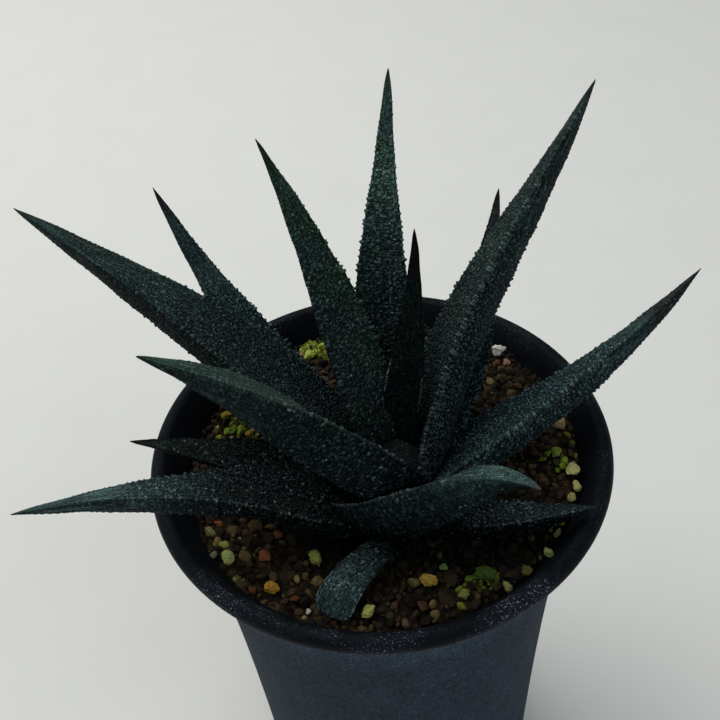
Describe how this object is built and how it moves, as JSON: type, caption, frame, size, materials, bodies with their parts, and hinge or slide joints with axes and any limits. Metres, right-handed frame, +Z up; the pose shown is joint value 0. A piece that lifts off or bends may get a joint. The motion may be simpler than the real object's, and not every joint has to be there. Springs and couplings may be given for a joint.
{
  "type": "potted haworthia scabra",
  "caption": "Small dark rough-leaved succulent rosette growing in a deep round nursery pot filled with granular clay soil.",
  "frame": {"origin": "centre of the pot's flat base, on the pot's axis", "axes": "+Z up along the pot's axis, -Y towards the side that the picture is taken from, +X to its right"},
  "size_m": [0.1254, 0.09, 0.174],
  "materials": {
    "pot": "matte, faintly scratched",
    "soil": "dull granular fired clay",
    "stem": "dull",
    "leaf": "rough, covered in small raised points",
    "withered_leaf": "rough, dry at the end",
    "pebble_amber": "dull stone",
    "pebble_ochre": "dull stone",
    "pebble_lime": "dull stone",
    "pebble_moss": "dull, mossy",
    "pebble_pale": "dull stone",
    "pebble_cream": "dull stone",
    "pebble_white": "dull stone"
  },
  "bodies": {
    "root": {"pot": "pot", "soil": "soil", "stem": "stem", "leaf_01": "leaf", "leaf_02": "leaf", "leaf_03": "leaf", "leaf_04": "leaf", "leaf_05": "leaf", "leaf_06": "leaf", "leaf_07": "leaf", "leaf_08": "leaf", "leaf_09": "leaf", "leaf_10": "leaf", "leaf_11": "leaf", "leaf_12": "leaf", "leaf_13": "leaf", "leaf_14": "withered_leaf", "pebble_amber_left": "pebble_amber", "pebble_ochre_left": "pebble_ochre", "pebble_lime_left": "pebble_lime", "pebble_lime_front": "pebble_lime", "pebble_amber_front": "pebble_amber", "pebble_moss": "pebble_moss", "pebble_pale_left": "pebble_pale", "pebble_pale_right": "pebble_pale", "pebble_cream_right": "pebble_cream", "pebble_white_back": "pebble_white"}
  },
  "joints": []
}
